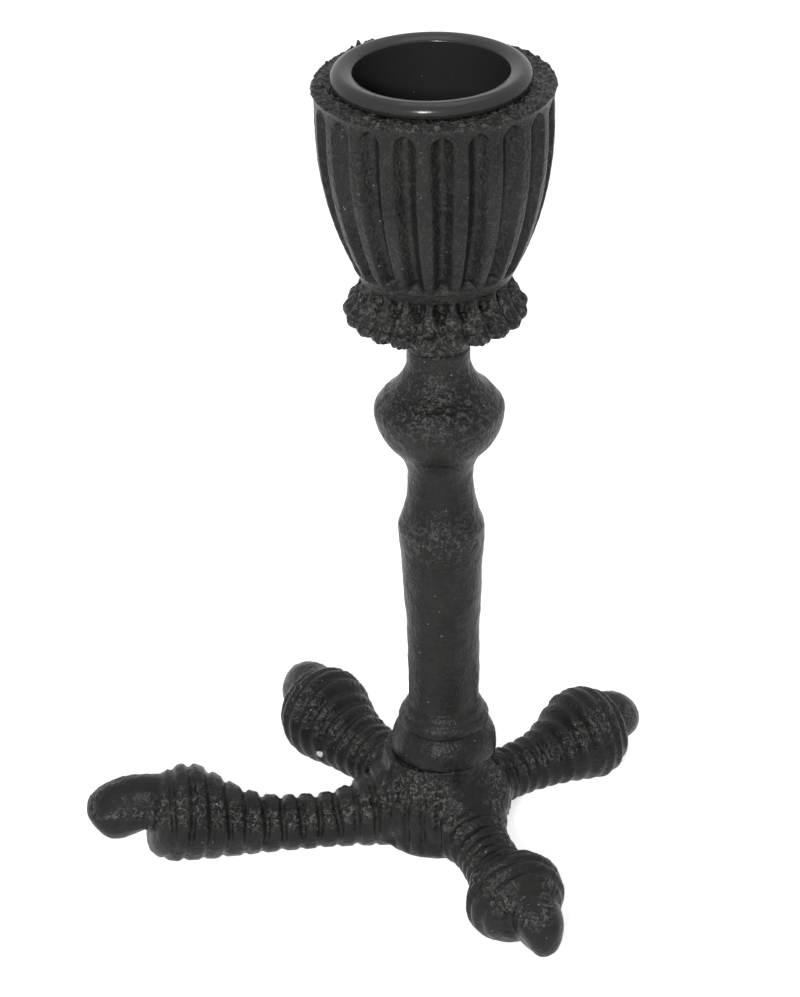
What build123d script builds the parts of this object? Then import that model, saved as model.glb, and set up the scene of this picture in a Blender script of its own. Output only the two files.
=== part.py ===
from build123d import *
from math import cos, pi, radians, sin, sqrt
import os

# A cast candle holder: a bird's claw foot, a turned column and a fluted cup, drawn together by a
# tie rod, with a spun liner that drops into the cup. Lengths are in millimetres and angles in
# degrees. +Z is up, the origin is on the stem's axis at the level of the table, and the long toe
# points to -X.

# Candle liner: a spun cup that hangs in the socket by its rolled lip
candle_bore_diameter = 22.2
candle_bore_depth = 20.0
liner_wall = 0.7
liner_floor_bend = 1.0
lip_diameter = 29.0
lip_skirt_height = 0.5
liner_clearance = 0.35
liner_floor_gap = 1.0

# Cup casting: the fluted bowl with the ruffle below it
cup_height = 41.3
rim_diameter = 34.1
rim_edge_chamfer = 0.5
bowl_wall_height = 5.8
bowl_foot_diameter = 21.8
bowl_foot_height = 11.4
ruffle_diameter = 26.9
ruffle_edge_height = 6.1
ruffle_lip_thickness = 2.4
ruffle_edge_step = 0.6
ruffle_hollow_sag = 1.6
ruffle_lobe_count = 18
ruffle_notch_width = 1.9
ruffle_notch_depth = 1.2
ruffle_notch_root = 0.3
notch_overrun = 2.0
cup_collar_diameter = 10.4
cup_floor_thickness = 9.5
nut_well_diameter = 11.6

# Flutes down the bowl, one of them a little to the right of the front
flute_count = 20
flute_first_angle = 272.6
flute_top_margin = 1.6
flute_top_width = 3.1
flute_foot_width = 1.9
flute_depth = 1.1
flute_foot_overrun = 0.6

# Column: the turned stem, from its neck under the cup to the beads on the foot
column_length = 70.2
neck_diameter = 9.3
neck_length = 2.5
neck_cove_height = 4.4
neck_cove_sag = 0.8
knob_diameter = 19.4
knob_height = 10.8
knob_widest_drop = 3.9
knob_upper_step = 1.5
knob_lower_step = 3.1
waist_diameter = 9.74
waist_height = 10.9
shoulder_diameter = 13.14
shoulder_height = 7.1
shoulder_upper_step = 0.3
shoulder_lower_step = 0.4
shoulder_widest_drop = 2.2
shaft_top_diameter = 11.3
shaft_foot_diameter = 10.94
shaft_flare_height = 11.8
shaft_flare_sag = 0.16
upper_bead_diameter = 14.0
upper_bead_height = 3.1
lower_bead_diameter = 16.0
lower_bead_height = 4.7
bead_groove_diameter = 13.3
bead_foot_diameter = 15.2
shaft_cove_height = 1.2
shaft_cove_width = 0.8
shaft_cove_sag = 0.2

# Spigots that centre the three castings on each other
foot_spigot_diameter = 9.0
foot_spigot_length = 3.0
cup_spigot_diameter = 7.8
cup_spigot_length = 3.0
spigot_clearance = 0.1
spigot_end_gap = 0.3

# Foot casting: the hub and its four toes
foot_seat_height = 16.3
hub_seat_diameter = 16.8
hub_diameter = 19.4
hub_widest_height = 5.5
hub_sole_diameter = 14.0
hub_belly_height = 1.7
hub_belly_diameter = 18.0

# Toes: a stout root, a slender waist and a ball that ends in a cuff round the claw
toe_root_radius = 8.7
toe_root_crown = 15.6
toe_root_reach = 5.0
toe_rib_start = 9.0
toe_waist_radius = 4.1
toe_waist_share = 0.47
toe_ball_radius = 7.6
toe_ball_end = 6.8
toe_cuff_radius = 4.9
toe_sole_cut = 0.3
toe_waist_clearance = 0.3
toe_flare_power = 1.7
toe_swell_power = 1.75
rib_depth = 0.55
rib_step = 0.5

left_toe_heading = 185.7
left_toe_root_swing = 5.0
left_toe_ball_reach = 41.0
left_toe_rib_pitch = 3.0
left_claw_heading = 172.0
left_claw_length = 15.8
left_claw_rise = 1.5
left_claw_hook = 30.0

front_toe_heading = 289.5
front_toe_root_swing = 9.0
front_toe_ball_reach = 30.0
front_claw_heading = 300.0
front_claw_length = 9.8
front_claw_rise = -0.3
front_claw_hook = 75.0

right_toe_heading = 35.5
right_toe_root_swing = 8.0
right_toe_ball_reach = 28.0
right_claw_heading = 42.0
right_claw_length = 11.5
right_claw_rise = 1.0
right_claw_hook = 40.0

back_toe_heading = 129.0
back_toe_root_swing = -2.0
back_toe_ball_reach = 30.5
back_claw_heading = 112.0
back_claw_length = 13.0
back_claw_rise = 1.8
back_claw_hook = 40.0

short_toe_rib_pitch = 2.5
claw_radius = 4.9
claw_tip_share = 0.98
claw_taper_power = 4.0
claw_section_count = 6

# Tie rod and its fasteners, all to the M5 size
rod_diameter = 5.0
rod_hole_diameter = 5.6
nut_across_flats = 8.0
nut_side_count = 6
nut_height = 4.0
nut_thread_clearance = 0.05
washer_diameter = 10.0
washer_thickness = 1.0
washer_hole_diameter = 5.3
lock_washer_diameter = 8.8
lock_washer_thickness = 1.2
lock_washer_slit = 0.8
rod_top_stand_out = 1.4
rod_foot_stand_out = 0.8
foot_recess_diameter = 11.2
foot_recess_depth = 7.5

# Radii and levels that several pieces share
candle_bore_radius = candle_bore_diameter / 2
liner_radius = candle_bore_radius + liner_wall
lip_radius = lip_diameter / 2
pocket_radius = liner_radius + liner_clearance
rod_radius = rod_diameter / 2
rod_hole_radius = rod_hole_diameter / 2
cup_seat = foot_seat_height + column_length
rim_top = cup_seat + cup_height
lip_roll_radius = (lip_radius - candle_bore_radius) / 2
lip_spring = rim_top + lip_skirt_height
lip_top = lip_spring + lip_roll_radius
liner_floor = lip_top - candle_bore_depth
pocket_floor = liner_floor - liner_wall - liner_floor_gap
nut_seat = cup_seat + cup_floor_thickness
rod_top = nut_seat + washer_thickness + nut_height + rod_top_stand_out
foot_nut_level = foot_recess_depth - washer_thickness - lock_washer_thickness - nut_height
rod_foot = foot_nut_level - rod_foot_stand_out

# The bowl's outline is an arc that leaves the rim's straight wall at a tangent
rim_radius = rim_diameter / 2
bowl_foot_radius = bowl_foot_diameter / 2
bowl_foot = cup_seat + bowl_foot_height
bowl_shoulder = rim_top - bowl_wall_height
bowl_run_in = rim_radius - bowl_foot_radius
bowl_arc_radius = (bowl_run_in**2 + (bowl_shoulder - bowl_foot) ** 2) / (2 * bowl_run_in)

# Liner: the bore, the bent floor and the lip rolled outward over the cup's rim
with BuildPart() as candle_liner:
    with BuildSketch(Plane.XZ):
        with BuildLine():
            Line((0, liner_floor), (candle_bore_radius, liner_floor))
            Line((candle_bore_radius, liner_floor), (candle_bore_radius, lip_spring))
            ThreePointArc(
                (candle_bore_radius, lip_spring),
                (candle_bore_radius + lip_roll_radius, lip_top),
                (lip_radius, lip_spring),
            )
            Line((lip_radius, lip_spring), (lip_radius, rim_top))
            Line((lip_radius, rim_top), (liner_radius, rim_top))
            Line((liner_radius, rim_top), (liner_radius, liner_floor - liner_wall))
            Line((liner_radius, liner_floor - liner_wall), (0, liner_floor - liner_wall))
            Line((0, liner_floor - liner_wall), (0, liner_floor))
        make_face()
    revolve(axis=Axis.Z)
    chamfer(candle_liner.edges().group_by(Axis.Z)[0], length=liner_floor_bend)
candle_liner.part.label = "candle_liner"

# One flute: a slot that widens upward to an arched top, as deep as the core inside it lets it go
flute_arch_radius = flute_top_width / 2
flute_foot_half = flute_foot_width / 2
flute_core_foot = bowl_foot_radius - flute_depth
flute_core_top = rim_radius - flute_depth
flute_arch = rim_top - flute_top_margin - flute_arch_radius
flute_foot = bowl_foot - flute_foot_overrun
with BuildPart() as flute_cutter:
    with BuildSketch(Plane.YZ):
        with BuildLine():
            Line((-flute_foot_half, flute_foot), (flute_foot_half, flute_foot))
            Line((flute_foot_half, flute_foot), (flute_arch_radius, flute_arch))
            ThreePointArc(
                (flute_arch_radius, flute_arch),
                (0, flute_arch + flute_arch_radius),
                (-flute_arch_radius, flute_arch),
            )
            Line((-flute_arch_radius, flute_arch), (-flute_foot_half, flute_foot))
        make_face()
    extrude(amount=rim_diameter)
    with BuildSketch(Plane.XZ):
        with BuildLine():
            Line((0, flute_foot), (flute_core_foot, flute_foot))
            Line((flute_core_foot, flute_foot), (flute_core_foot, bowl_foot))
            RadiusArc((flute_core_foot, bowl_foot), (flute_core_top, bowl_shoulder), -bowl_arc_radius)
            Line((flute_core_top, bowl_shoulder), (flute_core_top, rim_top))
            Line((flute_core_top, rim_top), (0, rim_top))
            Line((0, rim_top), (0, flute_foot))
        make_face()
    revolve(axis=Axis.Z, mode=Mode.SUBTRACT)

# One notch between two lobes of the ruffle: a wedge laid down its slope, from nothing at the root
# to its full depth and width at the edge, and on past it
ruffle_edge = cup_seat + ruffle_edge_height
ruffle_radius = ruffle_diameter / 2
notch_root = Vector(bowl_foot_radius, 0, bowl_foot)
notch_slope = Vector(ruffle_radius, 0, ruffle_edge) - notch_root
notch_out = Vector(-notch_slope.Z, 0, notch_slope.X).normalized()
with BuildPart() as notch_cutter:
    for share in (0, notch_overrun):
        half_width = ruffle_notch_width / 2 * share
        depth = ruffle_notch_depth / 2 * share
        plane = Plane(origin=notch_root + notch_slope * share, x_dir=notch_out, z_dir=notch_slope)
        with BuildSketch(plane):
            with BuildLine():
                Polyline(
                    (-depth - ruffle_notch_root, 0),
                    (ruffle_notch_width, -half_width - ruffle_notch_root),
                    (ruffle_notch_width, half_width + ruffle_notch_root),
                    close=True,
                )
            make_face()
    loft(ruled=True)

# Cup: turned outline, then the flutes, the notches, and the pocket over the nut's well
ruffle_underside = ruffle_edge - ruffle_lip_thickness / 2
ruffle_shoulder = ruffle_edge + ruffle_lip_thickness / 2
with BuildPart() as cup:
    with BuildSketch(Plane.XZ):
        with BuildLine():
            Line((0, cup_seat), (cup_collar_diameter / 2, cup_seat))
            SagittaArc(
                (cup_collar_diameter / 2, cup_seat),
                (ruffle_radius - ruffle_edge_step, ruffle_underside),
                ruffle_hollow_sag,
            )
            Line((ruffle_radius - ruffle_edge_step, ruffle_underside), (ruffle_radius, ruffle_edge))
            Line((ruffle_radius, ruffle_edge), (ruffle_radius - ruffle_edge_step, ruffle_shoulder))
            Line((ruffle_radius - ruffle_edge_step, ruffle_shoulder), (bowl_foot_radius, bowl_foot))
            RadiusArc((bowl_foot_radius, bowl_foot), (rim_radius, bowl_shoulder), -bowl_arc_radius)
            Line((rim_radius, bowl_shoulder), (rim_radius, rim_top))
            Line((rim_radius, rim_top), (0, rim_top))
            Line((0, rim_top), (0, cup_seat))
        make_face()
    revolve(axis=Axis.Z)
    chamfer(cup.edges().group_by(Axis.Z)[-1], length=rim_edge_chamfer)
    with PolarLocations(0, flute_count, start_angle=flute_first_angle):
        add(flute_cutter.part, mode=Mode.SUBTRACT)
    with PolarLocations(0, ruffle_lobe_count, start_angle=flute_first_angle):
        add(notch_cutter.part, mode=Mode.SUBTRACT)
    with Locations((0, 0, rim_top)):
        CounterBoreHole(
            radius=nut_well_diameter / 2,
            counter_bore_radius=pocket_radius,
            counter_bore_depth=rim_top - pocket_floor,
            depth=rim_top - nut_seat,
        )
    with BuildSketch(Plane.XY.offset(cup_seat)):
        Circle(cup_spigot_diameter / 2 + spigot_clearance)
    extrude(amount=cup_spigot_length + spigot_end_gap, mode=Mode.SUBTRACT)
    with BuildSketch(Plane.XY.offset(cup_seat)):
        Circle(rod_hole_radius)
    extrude(amount=cup_floor_thickness, mode=Mode.SUBTRACT)
cup.part.label = "cup"

# Column: coves and beads from the neck down, a cored bore, and a spigot at each end
neck_radius = neck_diameter / 2
knob_radius = knob_diameter / 2
shoulder_radius = shoulder_diameter / 2
neck_foot = cup_seat - neck_length
knob_top = neck_foot - neck_cove_height
knob_foot = knob_top - knob_height
waist_middle = knob_foot - waist_height / 2
shoulder_top = knob_foot - waist_height
shoulder_foot = shoulder_top - shoulder_height
flare_foot = shoulder_foot - shaft_flare_height
bead_groove = foot_seat_height + lower_bead_height
beads_top = bead_groove + upper_bead_height
shaft_foot = beads_top + shaft_cove_height
cove_radius = shaft_foot_diameter / 2 + shaft_cove_width
cup_spigot_radius = cup_spigot_diameter / 2
cup_spigot_top = cup_seat + cup_spigot_length
foot_spigot_radius = foot_spigot_diameter / 2
foot_spigot_end = foot_seat_height - foot_spigot_length
with BuildPart() as column:
    with BuildSketch(Plane.XZ):
        with BuildLine():
            Line((rod_hole_radius, cup_spigot_top), (cup_spigot_radius, cup_spigot_top))
            Line((cup_spigot_radius, cup_spigot_top), (cup_spigot_radius, cup_seat))
            Line((cup_spigot_radius, cup_seat), (neck_radius, cup_seat))
            Line((neck_radius, cup_seat), (neck_radius, neck_foot))
            SagittaArc(
                (neck_radius, neck_foot),
                (knob_radius - knob_upper_step, knob_top),
                -neck_cove_sag,
            )
            ThreePointArc(
                (knob_radius - knob_upper_step, knob_top),
                (knob_radius, knob_top - knob_widest_drop),
                (knob_radius - knob_lower_step, knob_foot),
            )
            ThreePointArc(
                (knob_radius - knob_lower_step, knob_foot),
                (waist_diameter / 2, waist_middle),
                (shoulder_radius - shoulder_upper_step, shoulder_top),
            )
            ThreePointArc(
                (shoulder_radius - shoulder_upper_step, shoulder_top),
                (shoulder_radius, shoulder_top - shoulder_widest_drop),
                (shoulder_radius - shoulder_lower_step, shoulder_foot),
            )
            SagittaArc(
                (shoulder_radius - shoulder_lower_step, shoulder_foot),
                (shaft_top_diameter / 2, flare_foot),
                shaft_flare_sag,
            )
            Line((shaft_top_diameter / 2, flare_foot), (shaft_foot_diameter / 2, shaft_foot))
            SagittaArc((shaft_foot_diameter / 2, shaft_foot), (cove_radius, beads_top), shaft_cove_sag)
            ThreePointArc(
                (cove_radius, beads_top),
                (upper_bead_diameter / 2, bead_groove + upper_bead_height / 2),
                (bead_groove_diameter / 2, bead_groove),
            )
            ThreePointArc(
                (bead_groove_diameter / 2, bead_groove),
                (lower_bead_diameter / 2, foot_seat_height + lower_bead_height / 2),
                (bead_foot_diameter / 2, foot_seat_height),
            )
            Line((bead_foot_diameter / 2, foot_seat_height), (foot_spigot_radius, foot_seat_height))
            Line((foot_spigot_radius, foot_seat_height), (foot_spigot_radius, foot_spigot_end))
            Line((foot_spigot_radius, foot_spigot_end), (rod_hole_radius, foot_spigot_end))
            Line((rod_hole_radius, foot_spigot_end), (rod_hole_radius, cup_spigot_top))
        make_face()
    revolve(axis=Axis.Z)
column.part.label = "column"


def toe_envelope(reach, ball_reach):
    """Radius over the ribs of a toe, at a reach from the stem's axis."""
    waist_reach = toe_waist_share * ball_reach
    if reach < waist_reach:
        share = (waist_reach - reach) / (waist_reach - toe_root_reach)
        return toe_waist_radius + (toe_root_radius - toe_waist_radius) * share**toe_flare_power
    if reach < ball_reach:
        share = ((reach - waist_reach) / (ball_reach - waist_reach)) ** toe_swell_power
        return toe_waist_radius + (toe_ball_radius - toe_waist_radius) * (1 - cos(pi * share)) / 2
    return toe_ball_radius * sqrt(max(1 - ((reach - ball_reach) / toe_ball_end) ** 2, 0))


def toe_heading_at(reach, heading, root_swing, ball_reach):
    """Heading of a toe's middle as it swings from its root round to its ball."""
    return heading + root_swing * max(1 - reach / ball_reach, 0)


def toe_sole(reach, ball_reach):
    """Level of a toe's sole: clear of the table at the waist, ground flat under the ball."""
    share = min(abs(reach / ball_reach - toe_waist_share) / (1 - toe_waist_share), 1)
    return toe_waist_clearance * (1 - share) - toe_sole_cut * share


def toe_plane(heading, reach, height, pitch_down=0):
    """Plane square to a path that leaves the stem's axis at a heading and dips by pitch_down."""
    flat = Vector(cos(radians(heading)), sin(radians(heading)), 0)
    along = flat * cos(radians(pitch_down)) - Vector(0, 0, sin(radians(pitch_down)))
    side = Vector(sin(radians(heading)), -cos(radians(heading)), 0)
    return Plane(origin=flat * reach + Vector(0, 0, height), x_dir=side, z_dir=along)


# The cuff ends where the ball has narrowed to the cuff's radius
cuff_share = sqrt(1 - (toe_cuff_radius / toe_ball_radius) ** 2)
toes = (
    (left_toe_heading, left_toe_root_swing, left_toe_ball_reach, left_toe_rib_pitch),
    (front_toe_heading, front_toe_root_swing, front_toe_ball_reach, short_toe_rib_pitch),
    (right_toe_heading, right_toe_root_swing, right_toe_ball_reach, short_toe_rib_pitch),
    (back_toe_heading, back_toe_root_swing, back_toe_ball_reach, short_toe_rib_pitch),
)
claws = (
    (left_claw_heading, left_claw_length, left_claw_rise, left_claw_hook),
    (front_claw_heading, front_claw_length, front_claw_rise, front_claw_hook),
    (right_claw_heading, right_claw_length, right_claw_rise, right_claw_hook),
    (back_claw_heading, back_claw_length, back_claw_rise, back_claw_hook),
)
with BuildPart() as claw_foot:
    with BuildSketch(Plane.XZ):
        with BuildLine():
            Line((0, 0), (hub_sole_diameter / 2, 0))
            ThreePointArc(
                (hub_sole_diameter / 2, 0),
                (hub_belly_diameter / 2, hub_belly_height),
                (hub_diameter / 2, hub_widest_height),
            )
            Line((hub_diameter / 2, hub_widest_height), (hub_seat_diameter / 2, foot_seat_height))
            Line((hub_seat_diameter / 2, foot_seat_height), (0, foot_seat_height))
            Line((0, foot_seat_height), (0, 0))
        make_face()
    revolve(axis=Axis.Z)
    for heading, root_swing, ball_reach, rib_pitch in toes:
        cuff_reach = ball_reach + toe_ball_end * cuff_share
        rib_count = round((cuff_reach - toe_rib_start) / rib_pitch)
        rib_length = (cuff_reach - toe_rib_start) / rib_count
        sections = [(toe_root_reach, 0)]
        for rib in range(rib_count):
            valley_reach = toe_rib_start + rib * rib_length
            sections += [(valley_reach, rib_depth), (valley_reach + rib_step, 0)]
        for reach, cut in sections + [(cuff_reach, 0)]:
            envelope = toe_envelope(reach, ball_reach)
            sole = toe_sole(reach, ball_reach)
            height = min(envelope + sole, toe_root_crown - envelope)
            if reach > ball_reach:
                height = toe_ball_radius + sole
            direction = toe_heading_at(reach, heading, root_swing, ball_reach)
            with BuildSketch(toe_plane(direction, reach, height)):
                Circle(envelope - cut)
        loft(ruled=True)
    for toe, claw in zip(toes, claws):
        heading, _, ball_reach, _ = toe
        claw_heading, claw_length, claw_rise, claw_hook = claw
        ball = toe_plane(heading, ball_reach, toe_ball_radius - toe_sole_cut + claw_rise).origin
        bend_radius = claw_length / radians(claw_hook)
        for step in range(claw_section_count):
            share = step / (claw_section_count - 1)
            turn = claw_hook * share
            path = toe_plane(
                claw_heading,
                bend_radius * sin(radians(turn)),
                -bend_radius * (1 - cos(radians(turn))),
                turn,
            )
            section_radius = claw_radius * sqrt(1 - (claw_tip_share * share) ** claw_taper_power)
            with BuildSketch(Plane(origin=path.origin + ball, x_dir=path.x_dir, z_dir=path.z_dir)):
                Circle(section_radius)
        loft()
    split(bisect_by=Plane.XY, keep=Keep.TOP)
    with Locations((0, 0, foot_seat_height)):
        CounterBoreHole(
            radius=rod_hole_radius,
            counter_bore_radius=foot_spigot_radius + spigot_clearance,
            counter_bore_depth=foot_spigot_length + spigot_end_gap,
            depth=foot_seat_height,
        )
    with BuildSketch(Plane.XY):
        Circle(foot_recess_diameter / 2)
    extrude(amount=foot_recess_depth, mode=Mode.SUBTRACT)
claw_foot.part.label = "claw_foot"

# Tie rod through the core of the column, from the foot's recess to the cup's well
with BuildPart() as tie_rod:
    with BuildSketch(Plane.XY.offset(rod_foot)):
        Circle(rod_radius)
    extrude(amount=rod_top - rod_foot)
tie_rod.part.label = "tie_rod"


def ring_sketch(outer_radius, hole_radius):
    """Flat ring, drawn in the sketch block that calls it."""
    Circle(outer_radius)
    Circle(hole_radius, mode=Mode.SUBTRACT)


with BuildPart() as top_washer:
    with BuildSketch(Plane.XY.offset(nut_seat)):
        ring_sketch(washer_diameter / 2, washer_hole_diameter / 2)
    extrude(amount=washer_thickness)
top_washer.part.label = "top_washer"

with BuildPart() as top_nut:
    with BuildSketch(Plane.XY.offset(nut_seat + washer_thickness)):
        RegularPolygon(nut_across_flats / 2, nut_side_count, major_radius=False)
        Circle(rod_radius + nut_thread_clearance, mode=Mode.SUBTRACT)
    extrude(amount=nut_height)
top_nut.part.label = "top_nut"

with BuildPart() as bottom_washer:
    with BuildSketch(Plane.XY.offset(foot_recess_depth)):
        ring_sketch(washer_diameter / 2, washer_hole_diameter / 2)
    extrude(amount=-washer_thickness)
bottom_washer.part.label = "bottom_washer"

# Split spring washer, pressed flat by the nut, with its slit to the front
with BuildPart() as lock_washer:
    with BuildSketch(Plane.XY.offset(foot_recess_depth - washer_thickness)):
        ring_sketch(lock_washer_diameter / 2, washer_hole_diameter / 2)
        with Locations((0, -lock_washer_diameter / 2)):
            Rectangle(lock_washer_slit, lock_washer_diameter, mode=Mode.SUBTRACT)
    extrude(amount=-lock_washer_thickness)
lock_washer.part.label = "lock_washer"

with BuildPart() as bottom_nut:
    with BuildSketch(Plane.XY.offset(foot_nut_level)):
        RegularPolygon(nut_across_flats / 2, nut_side_count, major_radius=False)
        Circle(rod_radius + nut_thread_clearance, mode=Mode.SUBTRACT)
    extrude(amount=nut_height)
bottom_nut.part.label = "bottom_nut"

pieces = (
    claw_foot,
    column,
    cup,
    candle_liner,
    tie_rod,
    top_washer,
    top_nut,
    bottom_washer,
    lock_washer,
    bottom_nut,
)
os.makedirs("parts", exist_ok=True)
for piece in pieces:
    export_step(piece.part, f"parts/{piece.part.label}.step")
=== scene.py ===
"""Looks of a cast candle holder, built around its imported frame. Lengths here are in millimetres."""

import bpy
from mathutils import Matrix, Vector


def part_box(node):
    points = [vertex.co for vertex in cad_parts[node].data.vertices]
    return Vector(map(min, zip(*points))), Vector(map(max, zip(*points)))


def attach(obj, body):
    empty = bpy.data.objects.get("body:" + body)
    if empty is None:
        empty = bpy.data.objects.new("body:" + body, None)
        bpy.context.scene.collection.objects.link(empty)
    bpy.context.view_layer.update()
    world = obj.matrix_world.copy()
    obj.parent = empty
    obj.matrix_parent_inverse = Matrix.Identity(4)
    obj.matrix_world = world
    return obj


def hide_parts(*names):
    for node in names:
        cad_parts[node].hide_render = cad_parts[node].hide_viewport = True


bl_info = {
    "name": "Claw Foot Candle Holder",
    "version": (1, 0, 0),
    "blender": (4, 5, 0),
    "location": "View3D > Sidebar > Candle Holder",
    "description": "Builds the castings, the liner, the fixings and the studio of a candle holder",
    "category": "Add Mesh",
}

from math import asin, atan2, cos, exp, hypot, pi, radians, sin, sqrt
from typing import NamedTuple

import bpy
import numpy as np
from mathutils import Matrix, Vector, noise

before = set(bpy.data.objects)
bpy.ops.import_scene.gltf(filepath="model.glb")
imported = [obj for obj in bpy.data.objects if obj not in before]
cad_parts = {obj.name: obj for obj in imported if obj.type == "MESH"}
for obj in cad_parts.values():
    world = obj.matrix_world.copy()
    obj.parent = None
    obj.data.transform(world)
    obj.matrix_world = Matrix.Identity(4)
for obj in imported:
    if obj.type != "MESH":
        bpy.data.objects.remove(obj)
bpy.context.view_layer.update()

MM = 0.001


def cad_level(node, end):
    """Height of a node's lowest (0) or highest (1) corner, in millimetres."""
    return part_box(node)[end].z / MM


def cad_radius(node):
    """Half the width of a turned node, in millimetres."""
    low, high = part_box(node)
    return (high.x - low.x) / 2 / MM


# Levels and radii that the frame gives
cup_seat = cad_level("cup", 0)
rim_top = cad_level("cup", 1)
lip_top = cad_level("candle_liner", 1)
liner_foot = cad_level("candle_liner", 0)
foot_seat = cad_level("claw_foot", 1)
rim_radius = cad_radius("cup")
lip_radius = cad_radius("candle_liner")
rod_foot = cad_level("tie_rod", 0)
rod_top = cad_level("tie_rod", 1)
rod_radius = cad_radius("tie_rod")

# Smallest ring round the stem's axis, and the way up
axis_radius = 0.02
up = np.array([0.0, 0.0, 1.0])

# Liner
candle_bore_radius = 11.1
liner_wall = 0.7
liner_shift = -0.15
liner_bend = 1.0
lip_inset = 0.2
lip_gap = 0.02
liner_radius = candle_bore_radius + liner_wall

# Cup
pocket_radius = 12.15
pocket_floor = 108.3
nut_well_radius = 5.8
nut_seat = 96.0
rod_hole_radius = 2.8
cup_socket_radius = 4.0
cup_socket_top = 89.8
collar_radius = 4.75
bowl_wall_height = 5.8
bowl_foot_radius = 10.9
bowl_foot = cup_seat + 11.4
ruffle_radius = 13.15
ruffle_edge = cup_seat + 6.1
ruffle_lip = 2.4
rim_burr = 0.35
ruffle_shift = -0.15
bowl_shift = 0.15
flute_count = 20
flute_first_angle = 272.6
flute_top_margin = 1.6
flute_top_half = 1.85
flute_foot_half = 1.35
flute_columns = 20
lobe_count = 20
lobe_veins = 4
lobe_top = bowl_foot + 1.2
vein_height = 0.09
flute_foot = bowl_foot - 2.8

# Column
neck_radius = 4.68
neck_foot = 83.6
column_shift = 0.12
knob_radius = 9.7
waist_radius = 4.93
waist_middle = 63.35
shoulder_foot = 50.5
shoulder_radius = 6.5
shaft_top_radius = 5.58
flare_foot = 39.0
shaft_foot_radius = 5.45
shaft_foot = 24.8
beads_top = 23.3
bead_groove = 21.0
spigot_gap = 0.1
spigot_end_gap = 0.3

# Foot
hub_sole_radius = 7.8
hub_belly_radius = 9.9
hub_belly_height = 1.7
hub_radius = 10.0
hub_shift = -1.1
hub_widest_height = 5.5
hub_seat_radius = 8.3
foot_recess_radius = 5.6
foot_recess_depth = 7.5
foot_socket_radius = 4.6
foot_socket_depth = 3.3
toe_root_radius = 9.3
toe_root_crown = 16.1
toe_root_reach = 5.0
toe_rib_start = 9.0
toe_waist_share = 0.47
toe_ball_radius = 7.6
toe_ball_end = 6.8
toe_cuff_radius = 4.9
toe_flare_power = 1.7
toe_swell_power = 1.9
toe_waist_clearance = 0.1
toe_sole_cut = 0.3
toe_columns = 96
toe_step = 0.2
rib_stand_out = 0.12
full_rib_pitch = 2.7
sole_rib_share = 0.45
claw_columns = 64
claw_rows = 40
claw_tip_share = 0.98
claw_neck = 0.13
claw_neck_place = 0.25
claw_neck_spread = 0.2
claw_side_spread = 34.0
claw_hollow = 0.16
claw_hollow_spread = 50.0
hub_columns = 160
hub_groove_first = 207.0
hub_groove_last = 263.0
hub_groove_step = 14.0
hub_groove_half = 0.7
hub_groove_margin = 6.0
core_overrun = 2.0

# Roughness of the castings: heights in millimetres, the band of wear and painted glints in degrees
# from a toe's crown
foot_ripple = 0.09
foot_wear = 0.16
hub_lumps = 0.3
wear_and_glint_side = 47.0
wear_and_glint_spread = 36.0
column_wear_and_glint = ((79.0, 7.0, 0.5), (56.0, 5.0, 0.4))
bowl_roughness = 0.06
rim_roughness = 0.3
rim_flash_heading = 127.0
rim_flash_spread = 0.15
rim_flash_height = 1.6

# Pale chip in the back toe's paint
chip_place = (-20.2, 15.3, 4.4)
chip_radius = 0.65
chip_edge = (0.34, 0.24)  # past its radius, where it starts and ends

# Fixings
nut_across_flats = 8.0
nut_bore_radius = 2.55
thread_pitch = 0.8
washer_hole_radius = 2.65

# Camera and frame of the photograph
image_height = 997
focal_pixels = 3328.0
sensor_width = 36.0
camera_distance = 500.0
camera_pitch = 29.5
camera_roll = -1.425
camera_target = (-6.02, 0.0, 60.62)

# Studio, in metres
key_size, key_place = 0.1, (-0.12, -0.65, 0.4)
top_size, top_place = 0.5, (0.05, 0.1, 0.8)
lamp_aim = (0, 0, 0.06)
floor_half = 2.0
floor_drop = 0.00002
floor_glow = 0.72


class Toe(NamedTuple):
    """Shape of one toe: millimetres, and degrees from the x axis."""

    heading: float
    swing: float  # how far its root turns off the heading
    ball_reach: float
    ribs: int
    valley: float  # half the width of the valley between two ribs
    waist_radius: float
    rib_lean: float  # how far the ribs lean back at the ball
    claw_heading: float
    claw_length: float
    claw_rise: float  # how far the claw starts above the middle of the ball
    claw_first_rise: float  # how steeply it sets out
    claw_hook: float  # how far it turns down by its tip
    claw_half_width: float
    claw_half_height: float
    claw_bluntness: float
    scrape_side: float  # where the claw is scraped hollow, in degrees from its top
    scrape_depth: float  # as a share of the claw's size


left_toe = Toe(
    heading=185.7, swing=5.0, ball_reach=41.0, ribs=13, valley=0.66, waist_radius=4.25,
    rib_lean=17.0, claw_heading=172.0, claw_length=15.5, claw_rise=2.0, claw_first_rise=5.0,
    claw_hook=48.0, claw_half_width=4.5, claw_half_height=5.0, claw_bluntness=9.0,
    scrape_side=-75.0, scrape_depth=0.14,
)
front_toe = Toe(
    heading=288.8, swing=9.0, ball_reach=30.0, ribs=12, valley=0.7, waist_radius=4.5,
    rib_lean=-9.0, claw_heading=301.5, claw_length=11.0, claw_rise=0.5, claw_first_rise=4.0,
    claw_hook=84.0, claw_half_width=5.0, claw_half_height=5.4, claw_bluntness=2.4,
    scrape_side=100.0, scrape_depth=0.26,
)
right_toe = Toe(
    heading=34.2, swing=15.0, ball_reach=27.7, ribs=12, valley=0.7, waist_radius=4.3,
    rib_lean=4.0, claw_heading=41.5, claw_length=10.7, claw_rise=1.2, claw_first_rise=0.0,
    claw_hook=40.0, claw_half_width=4.9, claw_half_height=4.9, claw_bluntness=4.0,
    scrape_side=120.0, scrape_depth=0.1,
)
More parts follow.
